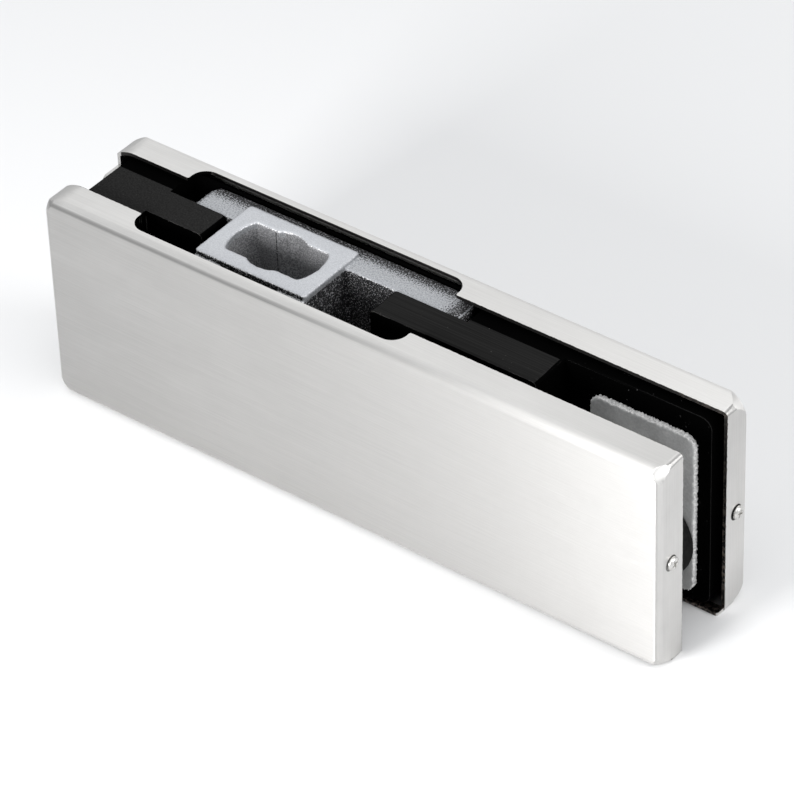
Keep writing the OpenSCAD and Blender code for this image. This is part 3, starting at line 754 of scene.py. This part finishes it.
def makeInsert():
    p = insertCast
    low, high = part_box("pivot_insert")
    pivotX = p["pivotX"]
    headX = (pivotX - p["headLength"] / 2, pivotX + p["headLength"] / 2)
    half = p["headWidth"] / 2
    head = addBox("pivotInsert", (headX[0], -half, low.z), (headX[1], half, high.z))
    bevelEdges(head, runsAlong("z"), p["headCorner"], 6)
    plateTop = high.z - p["plateStep"]
    plate = addBox("plate", (low.x, p["plateFront"], low.z), (high.x, high.y, plateTop))
    foldEdges(plate, [(runsAlong("z", y=high.y), p["plateCorner"]),
                      (runsAlong("x", y=high.y, z=plateTop), p["plateEdge"]),
                      (runsAlong("y", z=plateTop), p["plateEnd"])], 8)
    combine(head, plate, "UNION")
    for x in (headX[0], headX[1] - p["lugLength"]):
        lug = addBox("lug", (x, low.y, low.z),
                     (x + p["lugLength"], p["lugRoot"] - half, high.z - p["lugStep"]))
        combine(head, lug, "UNION")
    floor = (pivotX, 0, high.z - p["socketDepth"])
    mouth = (pivotX, 0, high.z + p["socketPast"])
    socket = addRod("socket", p["socketEnd"], floor, mouth, 96)
    flats = addBox("flats", (headX[0], -p["socketWidth"] / 2, floor[2] - spare),
                   (headX[1], p["socketWidth"] / 2, mouth[2] + spare))
    combine(socket, flats, "INTERSECT")
    combine(socket, addRod("middle", p["socketMiddle"], floor, mouth, 64), "UNION")
    combine(head, socket, "DIFFERENCE")
    remesh(head, p["voxel"])
    return roughen(head, p["skin"], p["skinGrain"], p["flatShare"], lambda vertex: vertex.normal.z < 0.8)


finishPiece(makeInsert(), "insert", "grey_casting", casting, "pivot_insert")


# Gaskets: L-shaped fibre sheets with a torn, fuzzy cut edge

gasketSheet = dict(padLength=26.5 * mm, stripTop=26.6 * mm, corner=3 * mm, hole=4.5 * mm, voxel=0.295 * mm,
                   skin=1.3 * mm, skinGrain=0.45 * mm, flatShare=0.1)


def makeGasket(name, node):
    g = gasketSheet
    low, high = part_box(node)
    pad = addBox(name, (high.x - g["padLength"], low.y, low.z), high)
    bevelEdges(pad, runsAlong("y"), g["corner"], 8)
    strip = addBox("strip", low, (high.x, high.y, g["stripTop"]))
    bevelEdges(strip, runsAlong("y"), g["corner"], 8)
    combine(pad, strip, "UNION")
    for screw in clampScrews:
        hole = addCrossRod("hole", g["hole"], middleOf(screw), low.y - spare, high.y + spare, 40)
        combine(pad, hole, "DIFFERENCE")
    remesh(pad, g["voxel"])
    return roughen(pad, g["skin"], g["skinGrain"], g["flatShare"], lambda vertex: abs(vertex.normal.y) < 0.85)


finishPiece(makeGasket("rearGasket", "rear_gasket"), "rear_half", "fibre_gasket", fibre, "rear_gasket")
finishPiece(makeGasket("frontGasket", "front_gasket"), "front_half", "fibre_gasket", fibre, "front_gasket")


# Bushes round the clamp screws

bushSleeve = dict(bore=4.25 * mm, chamfer=0.6 * mm)


def makeBush(name, node):
    low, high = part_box(node)
    middle = middleOf(node)
    sleeve = addCrossRod(name, (high.x - low.x) / 2, middle, low.y, high.y, 96)
    bore = addCrossRod("bore", bushSleeve["bore"], middle, low.y - spare, high.y + spare, 48)
    combine(sleeve, bore, "DIFFERENCE")
    return easeEdges(sleeve, bushSleeve["chamfer"], 3)


for where in ("left", "right"):
    node = where + "_bush"
    finishPiece(makeBush(where + "Sleeve", node), "front_half", "black_nylon", nylon, node)


# Cover screws: domed heads with a cross recess, driven in a little askew

coverScrew = dict(headRadius=1.6 * mm, headHeight=0.95 * mm, dome=0.6 * mm, shankRadius=1.1 * mm,
                  shankLength=6.8 * mm, shankRoot=0.3 * mm, recessWidth=0.48 * mm, recessLength=2.0 * mm,
                  recessDepth=0.5 * mm, ease=0.06 * mm)
screwTurns = (("front_right", 20, 3), ("rear_right", 65, 4), ("front_left", 40, 2), ("rear_left", 10, 3))


def onHeadRim(edge, points):
    return all(near(points[i].z, coverScrew["headHeight"]) for i in edge.vertices)


def makeCoverScrew(name, node, way, turn, tilt):  # made upright, then aimed along the fitting
    s = coverScrew
    middle = middleOf(node)
    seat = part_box(node.split("_")[0] + "_cover")[max(way, 0)].x
    head = addRod(name, s["headRadius"], (0, 0, 0), (0, 0, s["headHeight"]), 48)
    bevelEdges(head, onHeadRim, s["dome"], 6)
    shank = addRod("shank", s["shankRadius"], (0, 0, -s["shankLength"]), (0, 0, s["shankRoot"]), 32)
    combine(head, shank, "UNION")
    corner = Vector((s["recessLength"] / 2, s["recessWidth"] / 2, 0))
    for angle in (0, 90):
        bar = addBox("recess", (-corner.x, -corner.y, s["headHeight"] - s["recessDepth"]),
                     (corner.x, corner.y, s["headHeight"] + spare))
        bar.rotation_euler.z = math.radians(angle)
        settle(bar)
        combine(head, bar, "DIFFERENCE")
    easeEdges(head, s["ease"])
    aim = Vector((way, 0, 0)).to_track_quat("Z", "Y").to_matrix().to_4x4()
    lean = Matrix.Rotation(math.radians(tilt), 4, "X") @ Matrix.Rotation(math.radians(turn), 4, "Z")
    head.matrix_world = Matrix.Translation((seat, middle.y, middle.z)) @ aim @ lean
    return settle(head)


for where, turn, tilt in screwTurns:
    way = 1 if where.endswith("right") else -1
    body = where.split("_")[0] + "_half"
    node = where + "_screw"
    name = where.replace("_r", "R").replace("_l", "L") + "CoverScrew"
    finishPiece(makeCoverScrew(name, node, way, turn, tilt), body, "cover_screw", screwPlate, node)

# Hidden screws keep their solids and take a plated finish
for node in clampScrews + lockScrews:
    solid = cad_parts[node]
    solid.data.materials.clear()
    solid.data.materials.append(zincPlate)


# Floor, light and camera

studio = dict(floor=(0.80, 0.80, 0.80), floorSize=6.0, floorRough=0.9, pale=(0.90, 0.91, 0.92),
              soft=(0.85, 0.87, 0.90), softLevel=0.55, aim=(0, 0, 0.025))
softboxes = dict(backSoftbox=((-0.55, 0.75, 0.80), (0.7, 0.6), 0.8),  # place, size, power
                 topSoftbox=((0.1, -0.1, 1.1), (0.9, 0.9), 4.2),
                 frontSoftbox=((-0.06, -0.50, 0.20), (0.15, 0.24), 3.15),
                 rightSoftbox=((0.75, 0.25, 0.45), (0.4, 0.5), 3.4))
shot = dict(azimuth=38.85, elevation=38.62, roll=2.31, distance=1.0249, aim=(0, 0, 0.026), lens=216.14,
            shift=(0.0098, -0.0037))


def makeFloor():
    leaveAll()
    bpy.ops.mesh.primitive_plane_add(size=studio["floorSize"], location=(0, 0, 0))
    floor = bpy.context.object
    floor.name = "studioFloor"
    material, _, shader = startMaterial("paleFloor")
    shader.inputs["Base Color"].default_value = (*studio["floor"], 1)
    shader.inputs["Roughness"].default_value = studio["floorRough"]
    floor.data.materials.append(material)


def makeWorld():  # pale where it is seen or mirrored, softer as light
    world = bpy.data.worlds.new("studio")
    bpy.context.scene.world = world
    world.use_nodes = True
    tree = world.node_tree
    tree.nodes.clear()
    path = addNode(tree, "LightPath")
    seen = calc(tree, "MAXIMUM", path.outputs["Is Camera Ray"], path.outputs["Is Glossy Ray"])
    seen = calc(tree, "MAXIMUM", seen, path.outputs["Is Transmission Ray"])
    soft = addNode(tree, "Background", {"Color": (*studio["soft"], 1), "Strength": studio["softLevel"]})
    pale = addNode(tree, "Background", {"Color": (*studio["pale"], 1), "Strength": 1.0})
    mix = addNode(tree, "MixShader", {0: seen, 1: soft.outputs[0], 2: pale.outputs[0]})
    output = tree.nodes.new("ShaderNodeOutputWorld")
    tree.links.new(mix.outputs[0], output.inputs["Surface"])


def addSoftbox(name, place, size, power):
    lamp = bpy.data.lights.new(name, "AREA")
    lamp.shape = "RECTANGLE"
    lamp.size, lamp.size_y = size
    lamp.energy = power
    holder = bpy.data.objects.new(name, lamp)
    bpy.context.collection.objects.link(holder)
    holder.location = place
    holder.rotation_euler = (Vector(studio["aim"]) - Vector(place)).to_track_quat("-Z", "Y").to_euler()


def makeCamera():
    azimuth = math.radians(shot["azimuth"])
    elevation = math.radians(shot["elevation"])
    level = math.cos(elevation)
    back = Vector((math.sin(azimuth) * level, -math.cos(azimuth) * level, math.sin(elevation)))
    lens = bpy.data.cameras.new("photoCamera")
    lens.lens = shot["lens"]
    lens.shift_x, lens.shift_y = shot["shift"]
    holder = bpy.data.objects.new("photoCamera", lens)
    bpy.context.collection.objects.link(holder)
    turn = (-back).to_track_quat("-Z", "Y").to_matrix().to_4x4()
    roll = Matrix.Rotation(-math.radians(shot["roll"]), 4, "Z")
    holder.matrix_world = Matrix.Translation(Vector(shot["aim"]) + back * shot["distance"]) @ turn @ roll
    bpy.context.scene.camera = holder


makeFloor()
makeWorld()
for name, (place, size, power) in softboxes.items():
    addSoftbox(name, place, size, power)
makeCamera()
bpy.context.scene.view_settings.view_transform = "Standard"
print("studio ready")
